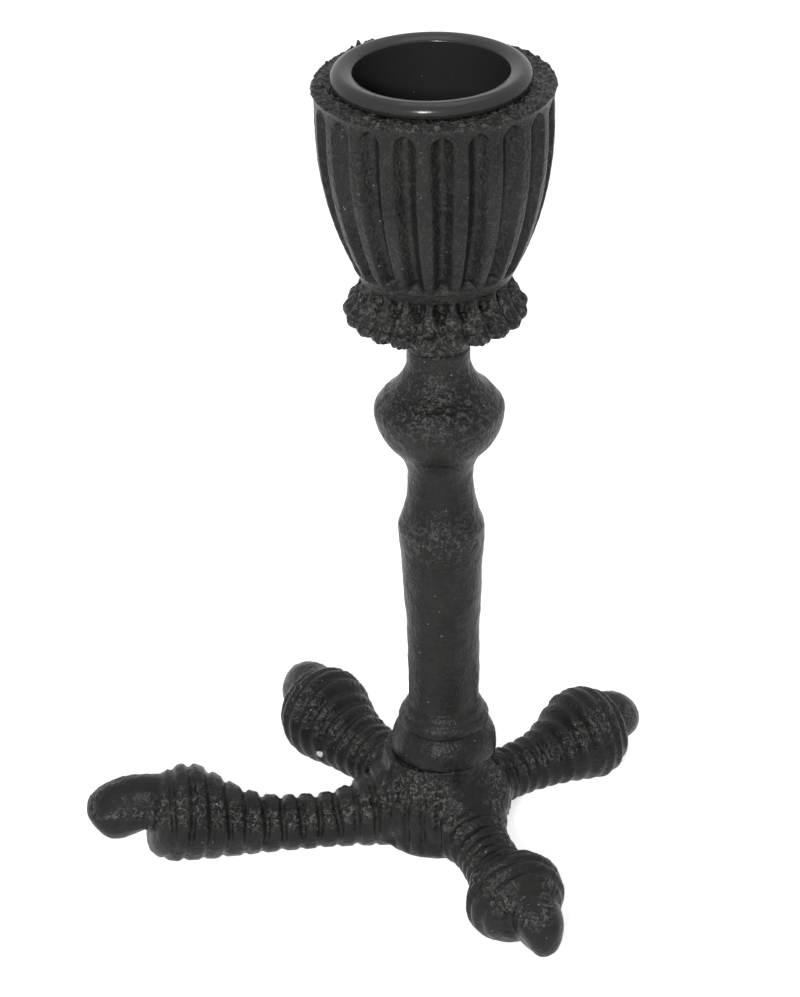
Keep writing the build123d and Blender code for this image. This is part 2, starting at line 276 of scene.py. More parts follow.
back_toe = Toe(
    heading=129.4, swing=-2.5, ball_reach=30.0, ribs=12, valley=0.7, waist_radius=4.9,
    rib_lean=-3.0, claw_heading=112.5, claw_length=13.6, claw_rise=1.9, claw_first_rise=0.0,
    claw_hook=40.0, claw_half_width=4.9, claw_half_height=4.9, claw_bluntness=4.0,
    scrape_side=-60.0, scrape_depth=0.1,
)
toes = (left_toe, front_toe, right_toe, back_toe)


class HolderSizes(bpy.types.PropertyGroup):
    """Depths of the cast detail"""

    rib_depth: bpy.props.FloatProperty(
        name="Rib Depth",
        description="Depth of the valleys between the ribs of a toe",
        default=0.95 * MM,
        unit="LENGTH",
    )
    flute_depth: bpy.props.FloatProperty(
        name="Flute Depth",
        description="Depth of the flutes down the bowl",
        default=1.6 * MM,
        unit="LENGTH",
    )
    lobe_depth: bpy.props.FloatProperty(
        name="Lobe Depth",
        description="Depth of the folds between the lobes of the ruffle",
        default=1.0 * MM,
        unit="LENGTH",
    )
    casting_grain: bpy.props.FloatProperty(
        name="Casting Grain",
        description="Height of the sand grain left on the column",
        default=0.11 * MM,
        unit="LENGTH",
    )
    skin_size: bpy.props.FloatProperty(
        name="Skin Size",
        description="Edge length of the faces over the foot",
        default=0.33 * MM,
        unit="LENGTH",
    )


class HolderFinish(bpy.types.PropertyGroup):
    """Colours of the paint and the metal"""

    paint: bpy.props.FloatVectorProperty(
        name="Paint",
        description="Black paint on the castings",
        subtype="COLOR",
        size=4,
        default=(0.0155, 0.0151, 0.0144, 1),
    )
    # Painted glints: a pale grey laid on the rubbed grains of the rough bands.
    painted_glints: bpy.props.FloatVectorProperty(
        name="Rubbed Paint",
        description="Polished grains of the rough bands",
        subtype="COLOR",
        size=4,
        default=(0.1, 0.098, 0.094, 1),
    )
    # Pale specks on the castings, part dust and part painted glints; dust on the liner.
    dust_and_glint: bpy.props.FloatVectorProperty(
        name="Worn Paint",
        description="Dust and bare specks on the paint",
        subtype="COLOR",
        size=4,
        default=(0.33, 0.33, 0.34, 1),
    )
    liner_paint: bpy.props.FloatVectorProperty(
        name="Liner Paint",
        description="Gloss black on the liner",
        subtype="COLOR",
        size=4,
        default=(0.022, 0.0208, 0.0205, 1),
    )
    zinc: bpy.props.FloatVectorProperty(
        name="Zinc",
        description="Plating on the tie rod, washers and nuts",
        subtype="COLOR",
        size=4,
        default=(0.55, 0.55, 0.54, 1),
    )
    chip: bpy.props.FloatVectorProperty(
        name="Chip",
        description="Pale chip on the back toe",
        subtype="COLOR",
        size=4,
        default=(0.72, 0.72, 0.68, 1),
    )


class HolderStudio(bpy.types.PropertyGroup):
    """Light and floor"""

    floor: bpy.props.FloatVectorProperty(
        name="Floor",
        description="Colour of the floor",
        subtype="COLOR",
        size=4,
        default=(0.85, 0.85, 0.85, 1),
    )
    sky: bpy.props.FloatProperty(
        name="Sky",
        description="Strength of the white surround as it lights the object",
        default=0.3,
    )
    key_power: bpy.props.FloatProperty(
        name="Key Power",
        description="Power of the lamp beside the camera",
        default=4.2,
        unit="POWER",
    )
    top_power: bpy.props.FloatProperty(
        name="Top Power",
        description="Power of the wide lamp overhead",
        default=1.0,
        unit="POWER",
    )


# Outlines


def run(start, end, spacing):
    """Points along a straight line, without its end."""
    count = max(round(hypot(end[0] - start[0], end[1] - start[1]) / spacing), 1)
    return [
        (
            start[0] + (end[0] - start[0]) * i / count,
            start[1] + (end[1] - start[1]) * i / count,
        )
        for i in range(count)
    ]


def bow(start, middle, end, spacing):
    """Points along the arc through three places, without its end."""
    (ax, ay), (bx, by), (cx, cy) = start, middle, end
    turn = 2 * (ax * (by - cy) + bx * (cy - ay) + cx * (ay - by))
    a, b, c = ax**2 + ay**2, bx**2 + by**2, cx**2 + cy**2
    x = (a * (by - cy) + b * (cy - ay) + c * (ay - by)) / turn
    y = (a * (cx - bx) + b * (ax - cx) + c * (bx - ax)) / turn
    radius = hypot(ax - x, ay - y)
    first = atan2(ay - y, ax - x)
    sweep = (atan2(cy - y, cx - x) - first) % (2 * pi)
    if (atan2(by - y, bx - x) - first) % (2 * pi) > sweep:
        sweep -= 2 * pi
    count = max(round(abs(sweep) * radius / spacing), 3)
    return [
        (x + radius * cos(first + sweep * i / count), y + radius * sin(first + sweep * i / count))
        for i in range(count)
    ]


def sagged(start, end, sag, spacing):
    """Points along an arc that stands off the chord by sag, to the left of its way."""
    along = Vector((end[0] - start[0], end[1] - start[1]))
    off = Vector((-along.y, along.x)).normalized() * sag
    middle = ((start[0] + end[0]) / 2 + off.x, (start[1] + end[1]) / 2 + off.y)
    return bow(start, middle, end, spacing)


def upright_middle(start, end):
    """A place on the arc between two others that stands upright at its end."""
    rise, out = end[1] - start[1], end[0] - start[0]
    radius = (out**2 + rise**2) / (2 * out)
    middle_rise = rise / 2
    return (end[0] - radius + sqrt(radius**2 - middle_rise**2), end[1] - middle_rise)


def path(start, *steps):
    """Points through steps of a spacing, perhaps a middle, and an end, without the last end.

    A middle is a place on an arc, or how far the arc stands off its chord. Without one the
    step is straight.
    """
    points = []
    for spacing, *middle, end in steps:
        if not middle:
            points += run(start, end, spacing)
        elif isinstance(middle[0], tuple):
            points += bow(start, middle[0], end, spacing)
        else:
            points += sagged(start, end, middle[0], spacing)
        start = end
    return points


# Meshes


def skin(name, rings, closed=True):
    """An object over rings of points in millimetres, joined last to first or else capped."""
    rings = np.asarray(rings, float)
    rows, columns = rings.shape[:2]
    index = np.arange(rows * columns).reshape(rows, columns)
    lower = index if closed else index[:-1]
    upper = np.roll(index, -1, 0) if closed else index[1:]
    quads = np.stack([lower, np.roll(lower, -1, 1), np.roll(upper, -1, 1), upper], -1)
    faces = quads.reshape(-1, 4).tolist()
    if not closed:
        faces += [index[0][::-1].tolist(), index[-1].tolist()]
    mesh = bpy.data.meshes.new(name)
    mesh.from_pydata((rings.reshape(-1, 3) * MM).tolist(), [], faces)
    mesh.update()
    mesh.shade_smooth()
    made = bpy.data.objects.new(name, mesh)
    bpy.context.scene.collection.objects.link(made)
    return made


def turned(outline, columns):
    """Rings of an outline of (radius, height) turned about the stem's axis."""
    outline = np.array(outline)
    angles = np.arange(columns) * 2 * pi / columns
    radius, height = outline[:, :1], outline[:, 1:]
    return np.stack(
        [radius * np.cos(angles), radius * np.sin(angles), height + 0 * angles], -1
    )


def places(obj):
    """The vertices of an object, in millimetres."""
    flat = np.empty(len(obj.data.vertices) * 3)
    obj.data.vertices.foreach_get("co", flat)
    return flat.reshape(-1, 3) / MM


def move_to(obj, points):
    """Puts the vertices of an object at points in millimetres."""
    obj.data.vertices.foreach_set("co", (points * MM).ravel())
    obj.data.update()


def outward(obj):
    """The normals at an object's vertices."""
    flat = np.empty(len(obj.data.vertices) * 3)
    obj.data.vertex_normals.foreach_get("vector", flat)
    return flat.reshape(-1, 3)


def grain(points, size, octaves=3, shift=0.0):
    """Fractal noise of about -1 to 1 at each point, its lumps about size across."""
    offset = Vector((shift, -shift, shift * 2))
    return np.array(
        [noise.fractal(Vector(p) / size + offset, 1.0, 2.0, octaves) for p in points]
    )


def cast_grain(obj, height, size, mask):
    """Raises a sandy grain along an object's normals, where the mask is set."""
    points = places(obj)
    lift = grain(points, size) * height * mask
    move_to(obj, points + outward(obj) * lift[:, None])


def from_nearest(value, first, step):
    """How far a value is from the nearest of even steps, one of them at first."""
    return np.abs(((value - first) / step + 0.5) % 1 - 0.5) * step


def modified(obj, name, kind, **settings):
    """Applies one modifier to an object's mesh."""
    modifier = obj.modifiers.new(name, kind)
    for key, value in settings.items():
        setattr(modifier, key, value)
    depsgraph = bpy.context.evaluated_depsgraph_get()
    mesh = bpy.data.meshes.new_from_object(obj.evaluated_get(depsgraph))
    old = obj.data
    obj.modifiers.clear()
    obj.data = mesh
    mesh.name = obj.name
    bpy.data.meshes.remove(old)
    mesh.shade_smooth()


def fuse(name, parts, face_size):
    """One skin over closed parts that overlap."""
    for part in parts:
        part.select_set(True)
    with bpy.context.temp_override(active_object=parts[0], selected_editable_objects=parts):
        bpy.ops.object.join()
    whole = parts[0]
    whole.name = name
    modified(whole, "skin", "REMESH", mode="VOXEL", voxel_size=face_size)
    return whole


def cut(obj, cutter):
    """Takes the cutter's space out of an object and drops the cutter."""
    modified(obj, "cut", "BOOLEAN", operation="DIFFERENCE", solver="MANIFOLD", object=cutter)
    bpy.data.objects.remove(cutter)


def finish_piece(obj, material, body, slot, *nodes):
    """Dresses a piece, lets it ride and hides the nodes it stands for."""
    obj.data.materials.clear()
    obj.data.materials.append(material)
    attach(obj, body)
    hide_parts(*nodes)


# Materials


class Nodes:
    """Makes the nodes of one material."""

    def __init__(self, tree):
        self.tree = tree
        tree.nodes.clear()

    def add(self, kind, inputs=None, **settings):
        """A node with its settings made and its inputs set or linked."""
        node = self.tree.nodes.new(kind)
        for key, value in settings.items():
            setattr(node, key, value)
        for key, value in (inputs or {}).items():
            if isinstance(value, bpy.types.NodeSocket):
                self.tree.links.new(value, node.inputs[key])
            else:
                node.inputs[key].default_value = value
        return node

    def noise(self, place, size, detail=3.0, roughness=0.5):
        """Noise of about 0 to 1, its lumps about size millimetres across."""
        return self.add(
            "ShaderNodeTexNoise",
            {"Vector": place, "Scale": 1 / (size * MM), "Detail": detail, "Roughness": roughness},
        ).outputs["Fac"]

    def spots(self, place, size):
        """Distance from the nearest of scattered points about size millimetres apart."""
        return self.add(
            "ShaderNodeTexVoronoi", {"Vector": place, "Scale": 1 / (size * MM)}
        ).outputs["Distance"]

    def fit(self, value, low, high, to_low=0.0, to_high=1.0):
        """A value from low to high carried over to another range, and held there."""
        return self.add(
            "ShaderNodeMapRange",
            {
                "Value": value,
                "From Min": low,
                "From Max": high,
                "To Min": to_low,
                "To Max": to_high,
            },
        ).outputs["Result"]

    def maths(self, operation, first, second):
        """One sum on two values."""
        return self.add("ShaderNodeMath", {0: first, 1: second}, operation=operation).outputs[0]

    def mix(self, share, first, second):
        """A colour between two others."""
        inputs = {0: share, 6: first, 7: second}
        return self.add("ShaderNodeMix", inputs, data_type="RGBA").outputs[2]

    def bump(self, height, distance, strength=1.0, over=None):
        """Relief of a height, distance millimetres tall, over another relief if given."""
        inputs = {"Height": height, "Distance": distance * MM, "Strength": strength}
        if over:
            inputs["Normal"] = over
        return self.add("ShaderNodeBump", inputs).outputs["Normal"]

    def surface(self, colour, gloss, relief, others):
        """Ends the material in a principled shader with these and other inputs."""
        inputs = {"Base Color": colour, "Roughness": gloss, "Normal": relief, **others}
        shader = self.add("ShaderNodeBsdfPrincipled", inputs)
        self.add("ShaderNodeOutputMaterial", {"Surface": shader.outputs[0]})


def new_material(name):
    """An empty material, the maker of its nodes and the place on the object."""
    material = bpy.data.materials.new(name)
    material.use_nodes = True
    make = Nodes(material.node_tree)
    return material, make, make.add("ShaderNodeTexCoord").outputs["Object"]


def darker(colour, share):
    """A colour with its channels taken down to a share."""
    return tuple(channel * share for channel in colour[:3]) + (1,)


def black_casting_paint(context):
    """Semi-gloss black over a sandy casting, with pits, rubbed patches lightened as painted glints,
    specks that are part dust and part painted glints, and one chip.
    """
    finish = context.scene.holder_finish
    material, make, place = new_material("black_casting_paint")
    # The wear attribute marks the rough bands, which also carry the painted glints.
    wear_and_glint = make.add("ShaderNodeAttribute", attribute_name="wear_and_glint").outputs["Fac"]
    broad = make.noise(place, 7.0)
    lumps = make.noise(place, 0.8, 2.0)
    sand = make.noise(place, 0.4, 3.0, 0.6)
    pits = make.fit(make.spots(place, 1.1), 0.08, 0.26)
    # Pale specks, part dust and part painted glints, thicker where the paint is worn.
    speck_field = make.fit(make.spots(place, 1.5), 0.11, 0.07)
    speck_patch = make.fit(make.noise(place, 3.1, 2.0), 0.48, 0.56)
    specks = make.maths("MULTIPLY", speck_field, speck_patch)
    specks = make.maths("MULTIPLY", specks, make.fit(wear_and_glint, 0.0, 1.0, 0.35, 1.0))
    paint = tuple(finish.paint)
    colour = make.mix(make.fit(broad, 0.35, 0.65), darker(paint, 0.5), paint)
    colour = make.mix(specks, colour, tuple(finish.dust_and_glint))
    middle = tuple(value * MM for value in chip_place)
    off_chip = make.add("ShaderNodeVectorMath", {0: place, 1: middle}, operation="DISTANCE")
    ragged = make.maths("MULTIPLY", make.noise(place, 0.9), 0.6 * MM)
    off_chip = make.maths("ADD", off_chip.outputs["Value"], ragged)
    chipped = make.fit(off_chip, *((chip_radius + edge) * MM for edge in chip_edge))
    colour = make.mix(chipped, colour, tuple(finish.chip))
    # Painted glints: the peaks of the grain in the worn bands are lightened towards a pale grey.
    lump_share = make.maths("MULTIPLY", lumps, 0.6)
    sand_share = make.maths("MULTIPLY", sand, 0.4)
    patches = make.maths("ADD", lump_share, sand_share)
    shine = make.maths("MULTIPLY", make.fit(patches, 0.5, 0.62), make.fit(wear_and_glint, 0.1, 0.9))
    colour = make.mix(shine, colour, tuple(finish.painted_glints))
    gloss = make.fit(broad, 0.35, 0.65, 0.38, 0.3)
    gloss = make.maths("MULTIPLY", gloss, make.fit(wear_and_glint, 0.0, 1.0, 1.0, 0.7))
    relief = make.bump(lumps, 0.5, make.fit(wear_and_glint, 0.0, 1.0, 0.15, 1.0))
    relief = make.bump(sand, 0.25, make.fit(wear_and_glint, 0.0, 1.0, 0.3, 1.0), relief)
    relief = make.bump(pits, 0.15, 0.5, relief)
    make.surface(colour, gloss, relief, {"Specular IOR Level": 0.17})
    return material


def liner_gloss(context):
    """Smooth gloss black with a little dust."""
    finish = context.scene.holder_finish
    material, make, place = new_material("liner_gloss")
    dust = make.maths(
        "MULTIPLY",
        make.fit(make.spots(place, 2.3), 0.07, 0.04),
        make.fit(make.noise(place, 4.0, 2.0), 0.5, 0.6),
    )
    colour = make.mix(dust, tuple(finish.liner_paint), tuple(finish.dust_and_glint))
    gloss = make.fit(make.noise(place, 2.0, 4.0), 0.3, 0.7, 0.16, 0.28)
    relief = make.bump(make.noise(place, 1.6, 3.0), 0.03, 0.5)
    make.surface(colour, gloss, relief, {"Specular IOR Level": 0.3})
    return material


def zinc_plate(context):
    """Satin zinc with fine turning marks."""
    finish = context.scene.holder_finish
    material, make, place = new_material("zinc_plate")
    cloud = make.noise(place, 2.5, 4.0)
    zinc = tuple(finish.zinc)
    colour = make.mix(make.fit(cloud, 0.35, 0.65), darker(zinc, 0.7), zinc)
    gloss = make.fit(cloud, 0.3, 0.7, 0.28, 0.45)
    relief = make.bump(make.noise(place, 0.3, 3.0), 0.02, 0.5)
    make.surface(colour, gloss, relief, {"Metallic": 1.0})
    return material


def white_floor(context):
    """Pale floor that the camera and reflections see as white, and that keeps its shadow."""
    material, make, place = new_material("white_floor")
    base = tuple(context.scene.holder_studio.floor)
    colour = make.mix(make.noise(place, 90.0), base, darker(base, 0.98))
    diffuse = make.add("ShaderNodeBsdfDiffuse", {"Color": colour}).outputs[0]
    strength = seen_directly(make, 0.0, floor_glow)
    glow = make.add("ShaderNodeEmission", {"Strength": strength}).outputs[0]
    both = make.add("ShaderNodeAddShader", {0: diffuse, 1: glow}).outputs[0]
    make.add("ShaderNodeOutputMaterial", {"Surface": both})
    return material


def seen_directly(make, otherwise, strength):
    """A strength for rays from the camera or a reflection, and another for the rest."""
    ray = make.add("ShaderNodeLightPath").outputs
    seen = make.maths("MAXIMUM", ray["Is Camera Ray"], ray["Is Glossy Ray"])
    seen = make.maths("MAXIMUM", seen, ray["Is Transmission Ray"])
    return make.fit(seen, 0.0, 1.0, otherwise, strength)


# Foot


def toe_envelope(reach, toe):
    """Radius over the ribs of a toe, at a reach from the stem's axis."""
    waist, ball_reach = toe.waist_radius, toe.ball_reach
    waist_reach = toe_waist_share * ball_reach
    if reach < waist_reach:
        share = (waist_reach - reach) / (waist_reach - toe_root_reach)
        return waist + (toe_root_radius - waist) * share**toe_flare_power
    if reach < ball_reach:
        share = ((reach - waist_reach) / (ball_reach - waist_reach)) ** toe_swell_power
        return waist + (toe_ball_radius - waist) * (1 - cos(pi * share)) / 2
    return toe_ball_radius * sqrt(max(1 - ((reach - ball_reach) / toe_ball_end) ** 2, 0))


def toe_middle(reach, toe):
    """Height of the middle of a toe."""
    share = min(abs(reach / toe.ball_reach - toe_waist_share) / (1 - toe_waist_share), 1)
    sole = toe_waist_clearance * (1 - share) - toe_sole_cut * share
    if reach > toe.ball_reach:
        return toe_ball_radius + sole
    envelope = toe_envelope(reach, toe)
    return min(envelope + sole, toe_root_crown - envelope)


def heading_vectors(heading):
    """The way along a heading and the way to its right."""
    angle = radians(heading)
    return np.array([cos(angle), sin(angle), 0]), np.array([sin(angle), -cos(angle), 0])


def toe_cuff_reach(toe):
    """Reach of the edge of a toe's cuff."""
    return toe.ball_reach + toe_ball_end * sqrt(1 - (toe_cuff_radius / toe_ball_radius) ** 2)


def rib_pitch(toe):
    """Distance from one rib of a toe to the next."""
    return (toe_cuff_reach(toe) - toe_rib_start) / toe.ribs


def toe_rings(toe, rib_depth):
    """Rings of a toe from inside the hub to the end of its cuff, with its ribs."""
    cuff_reach = toe_cuff_reach(toe)
    pitch = rib_pitch(toe)
    rib_depth = rib_depth * min(pitch / full_rib_pitch, 1)
    around = np.arange(toe_columns) * 2 * pi / toe_columns
    crown = np.clip((0.5 + 0.5 * np.cos(around)) * 1.8, 0, 1)
    side_depth = rib_depth * (sole_rib_share + (1 - sole_rib_share) * crown)
    rings = []
    for reach in np.arange(toe_root_reach, cuff_reach + toe_step / 2, toe_step):
        reach = min(reach, cuff_reach)
        wander = 0.12 * np.sin(around * 2 + reach) + 0.1 * np.sin(around * 3 - reach * 0.7)
        apart = from_nearest(reach + wander, toe_rib_start, pitch)
        notch = np.clip(1 - apart / toe.valley, 0, 1) ** 0.9
        depth = side_depth * min(max((reach - toe_rib_start + 1) / 2, 0), 1)
        out = toe_envelope(reach, toe) + rib_stand_out - depth * notch
        swing = toe.swing * max(1 - reach / toe.ball_reach, 0)
        way, side = heading_vectors(toe.heading + swing)
        centre = way * reach + up * toe_middle(reach, toe)
        swelling = (reach - toe_rib_start) / (toe.ball_reach - toe_rib_start)
        swelling = min(max(swelling, 0), 1) ** 1.5
        tilt = radians(toe.rib_lean) * swelling * (0.6 - 0.4 * np.cos(around))
        high = out * np.cos(around)
        rings.append(
            centre
            + side * (out * np.sin(around))[:, None]
            + up * (high * np.cos(tilt))[:, None]
            - way * (high * np.sin(tilt))[:, None]
        )
    return rings


def claw_rings(toe):
    """Rings of a blunt claw that starts inside the ball and hooks down."""
    first = radians(toe.claw_first_rise)
    around = np.arange(claw_columns) * 2 * pi / claw_columns
    ball = heading_vectors(toe.heading)[0] * toe.ball_reach
    ball = ball + up * (toe_ball_radius - toe_sole_cut + toe.claw_rise)
    way, side = heading_vectors(toe.claw_heading)
    bend = toe.claw_length / radians(toe.claw_hook)
    aside = np.degrees((around - radians(toe.scrape_side) + pi) % (2 * pi) - pi)
    scrape = toe.scrape_depth * np.exp(-((aside / claw_side_spread) ** 2))
    beneath = np.degrees(around - pi)
    hollow = claw_hollow * np.exp(-((beneath / claw_hollow_spread) ** 2))
    rings = []
    for share in np.sin(np.linspace(0, pi / 2, claw_rows)):
        turn = radians(toe.claw_hook) * share - first
        along = way * bend * (sin(first) + sin(turn))
        centre = ball + along - up * bend * (cos(first) - cos(turn))
        rise_way = up * cos(turn) + way * sin(turn)
        size = sqrt(max(1 - (claw_tip_share * share) ** toe.claw_bluntness, 0))
        necked = exp(-(((share - claw_neck_place) / claw_neck_spread) ** 2))
        size = size * (1 - claw_neck * necked)
        size = size * (1 - scrape * min(share * 2, 1)) * (1 - hollow * sin(pi * share))
        rings.append(
            centre
            + side * (toe.claw_half_width * size * np.sin(around))[:, None]
            + rise_way * (toe.claw_half_height * size * np.cos(around))[:, None]
        )
    return rings


def hub_rings():
    """Rings of the hub, closed at its sole and its seat."""
    outline = path(
        (axis_radius, 0.0),
        (10.0, (hub_sole_radius - 0.5, 0.0)),
        (10.0, (hub_sole_radius, 0.0)),
        (0.3, (hub_belly_radius, hub_belly_height), (hub_radius, hub_widest_height)),
        (0.4, (hub_seat_radius, foot_seat)),
        (1.0, (axis_radius, foot_seat)),
    )
    outline.append((axis_radius, foot_seat))
    return turned(outline, hub_columns) + np.array([hub_shift, 0, 0])


def hub_grooves(points):
    """Grooves that carry the left toe's ribs on round the front of the hub, from 0 to 1."""
    heading = np.degrees(np.arctan2(points[:, 1], points[:, 0])) % 360
    reach = np.hypot(points[:, 0], points[:, 1])
    apart = from_nearest(heading, hub_groove_first, hub_groove_step)
    notch = np.clip(1 - np.radians(apart) * reach / hub_groove_half, 0, 1)
    begun = np.clip((heading - hub_groove_first + hub_groove_margin) / 4, 0, 1)
    left = np.clip((hub_groove_last + hub_groove_margin - heading) / 4, 0, 1)
    height = np.clip((points[:, 2] - 1) / 2, 0, 1) * np.clip((14.5 - points[:, 2]) / 3, 0, 1)
    return notch * begun * left * height * (reach > 8.5) * np.clip(14 - reach, 0, 1)


def toe_place(points, toe):
    """How far points are along a toe, how far round from its top, and how far off its middle."""
    reach = np.hypot(points[:, 0], points[:, 1])
    swing = toe.swing * np.clip(1 - reach / toe.ball_reach, 0, None)
    angle = np.radians(toe.heading + swing)
    along = points[:, 0] * np.cos(angle) + points[:, 1] * np.sin(angle)
    across = points[:, 0] * np.sin(angle) - points[:, 1] * np.cos(angle)
    middle = np.array([toe_middle(a, toe) for a in np.clip(along, 0, None)])
    above = points[:, 2] - middle
    return along, np.arctan2(np.abs(across), above), np.hypot(across, above)


def wear_and_glint_band(points):
    """Where the upper flanks of the toes and the claws are rough and carry painted glints, from 0 to
    1.
    """
    best = np.full(len(points), np.inf)
    wear_and_glint = np.zeros(len(points))
    for toe in toes:
        along, round_top, off = toe_place(points, toe)
        off = np.where(along < toe_root_reach, np.inf, off)
        band = np.clip(1 - np.abs(np.degrees(round_top) - wear_and_glint_side) / wear_and_glint_spread, 0, 1)
        # Less wear and fewer painted glints in the valleys between the ribs than on their crests.
        apart = from_nearest(along, toe_rib_start, rib_pitch(toe))
        on_rib = 0.25 + 0.75 * np.clip((apart - 0.3) / 0.4, 0, 1)
        ribbed = (along > toe_rib_start) & (along < toe.ball_reach + toe_ball_end / 2)
        band = np.where(ribbed, band * on_rib, band)
        nearer = off < best
        best = np.where(nearer, off, best)
        wear_and_glint = np.where(nearer, band, wear_and_glint)
    return wear_and_glint


def set_wear_and_glint(obj, wear_and_glint):
    """Keeps a share of wear and of painted glints on each vertex, for the paint to read."""
    layer = obj.data.attributes.new("wear_and_glint", "FLOAT", "POINT")
    layer.data.foreach_set("value", wear_and_glint.astype(np.float32))


class HOLDER_OT_foot(bpy.types.Operator):
    """Builds the foot casting: hub, four ribbed toes and their claws"""

    bl_idname = "holder.foot"
    bl_label = "Foot Casting"

    def execute(self, context):
        sizes = context.scene.holder_sizes
        parts = [skin("hub", hub_rings(), closed=False)]
        for toe in toes:
            rings = toe_rings(toe, sizes.rib_depth / MM)
            parts.append(skin("toe", rings, closed=False))
            parts.append(skin("claw", claw_rings(toe), closed=False))
        foot = fuse("foot_casting", parts, sizes.skin_size)
        points = places(foot)
        wear_and_glint = wear_and_glint_band(points)
        lift = grain(points, 2.4) * foot_ripple + grain(points, 0.75, 3, 7.0) * wear_and_glint * foot_wear
        reach = np.hypot(points[:, 0], points[:, 1])
        hub_share = np.clip(1 - (reach - 9) / 5, 0, 1) * np.clip(points[:, 2] / 8, 0, 1)
        lift += grain(points, 1.7, 4, 5.0) * hub_share * hub_lumps
        lift -= hub_grooves(points) * sizes.rib_depth / MM * 0.6
        points = points + outward(foot) * lift[:, None]
        points[:, 2] = np.clip(points[:, 2], 0, foot_seat)
        move_to(foot, points)
        socket_floor = foot_seat - foot_socket_depth
        core_top = foot_seat + core_overrun
        core = path(
            (foot_recess_radius, -core_overrun),
            (5.0, (foot_recess_radius, foot_recess_depth)),
            (5.0, (rod_hole_radius, foot_recess_depth)),
            (5.0, (rod_hole_radius, socket_floor)),
            (5.0, (foot_socket_radius, socket_floor)),
            (5.0, (foot_socket_radius, core_top)),
            (5.0, (0.01, core_top)),
        )
        core += [(0.01, core_top), (0.01, -core_overrun)]
        cut(foot, skin("core", turned(core, 96)))
        set_wear_and_glint(foot, wear_and_glint_band(places(foot)))
        finish_piece(foot, shared_paint(context), "holder", "black_casting", "claw_foot")
        return {"FINISHED"}


def shared_paint(context):
    """The castings' paint, made once."""
    return bpy.data.materials.get("black_casting_paint") or black_casting_paint(context)


# Column


def column_outline():
    """Outline of the column: up the outside from the foot's socket, and down the bore."""
    cup_spigot_radius = cup_socket_radius - spigot_gap
    cup_spigot_top = cup_socket_top - spigot_end_gap
    foot_spigot_radius = foot_socket_radius - spigot_gap
    foot_spigot_end = foot_seat - foot_socket_depth + spigot_end_gap
    return path(
        (rod_hole_radius, foot_spigot_end),
        (2.0, (foot_spigot_radius, foot_spigot_end)),
        (2.0, (foot_spigot_radius, foot_seat)),
        (1.0, (8.1, foot_seat)),
        (0.2, (8.0, 18.7), (6.65, bead_groove)),
        (0.2, (7.0, 22.1), (6.3, beads_top)),
        (0.2, -0.2, (shaft_foot_radius, shaft_foot)),
        (0.4, (shaft_top_radius, flare_foot)),
        (0.3, -0.1, (6.15, shoulder_foot)),
        (0.3, (6.45, 53.6), (shoulder_radius, 55.6)),
        (0.15, (shoulder_radius, 56.4), (6.3, 57.0)),
        (0.3, (5.45, 59.8), (waist_radius, waist_middle)),
        (0.3, (5.15, 66.5), (6.6, 69.4)),
        (0.3, (8.8, 72.3), (knob_radius, 75.4)),
        (0.15, (knob_radius, 76.3), (9.4, 77.1)),
        (0.4, (8.15, 78.7)),
        (0.3, (5.95, 80.9), (neck_radius, neck_foot)),
        (0.4, (neck_radius, cup_seat)),
        (1.0, (cup_spigot_radius, cup_seat)),
        (2.0, (cup_spigot_radius, cup_spigot_top)),
        (2.0, (rod_hole_radius, cup_spigot_top)),
        (4.0, (rod_hole_radius, foot_spigot_end)),
    )


class HOLDER_OT_column(bpy.types.Operator):
    """Builds the turned column"""

    bl_idname = "holder.column"
    bl_label = "Column"

    def execute(self, context):
        grain_height = context.scene.holder_sizes.casting_grain / MM
        column = skin("stem_column", turned(column_outline(), 192))
        points = places(column)
        radius = np.hypot(points[:, 0], points[:, 1])
        height = points[:, 2]
        shown = (radius > rod_hole_radius + 0.01) & (height > foot_seat) & (height < cup_seat)
        cast_grain(column, grain_height, 2.6, shown)
        moved = places(column)
        moved[:, 0] += np.where(shown, column_shift * np.clip((height - 24) / 6, -0.5, 1), 0)
        move_to(column, moved)
        # Bands of wear and painted glints above the knob and round the shoulder.
        wear_and_glint = 0.15
        for middle, half_width, share in column_wear_and_glint:
            wear_and_glint = wear_and_glint + np.clip(1 - np.abs(height - middle) / half_width, 0, 1) * share
        set_wear_and_glint(column, wear_and_glint)
        finish_piece(column, shared_paint(context), "holder", "black_casting", "column")
        return {"FINISHED"}


# Cup


def cup_outline():
    """Outline of the cup: up the outside, over the rim, down the pocket and the well."""
    bowl_start = (bowl_foot_radius, bowl_foot)
    wall_start = (rim_radius, rim_top - bowl_wall_height)
    return path(
        (collar_radius, cup_seat),
        (0.5, (collar_radius, 87.9)),
        (0.35, (8.6, 90.0), (12.4, 91.7)),
        (0.2, (ruffle_radius, ruffle_edge), (12.5, 93.6)),
        (0.22, (11.7, 94.7), (11.2, 96.4)),
        (0.22, (10.95, 97.3), bowl_start),
        (0.3, upright_middle(bowl_start, wall_start), wall_start),
        (0.25, (rim_radius, rim_top - 1.4)),
        (0.2, (rim_radius + rim_burr, rim_top - 0.5)),
        (0.2, (rim_radius, rim_top)),
        (0.25, (pocket_radius, rim_top)),
        (1.5, (pocket_radius, pocket_floor)),
        (1.5, (nut_well_radius, pocket_floor)),
        (2.0, (nut_well_radius, nut_seat)),
        (1.5, (rod_hole_radius, nut_seat)),
        (3.0, (rod_hole_radius, cup_socket_top)),
        (1.2, (cup_socket_radius, cup_socket_top)),
        (2.0, (cup_socket_radius, cup_seat)),
        (1.2, (collar_radius, cup_seat)),
    )


def off_centre(angle, count, first):
    """Angle in radians from the nearest of even places round the stem, the first in degrees."""
    step = 2 * pi / count
    return (angle - radians(first) + step / 2) % step - step / 2


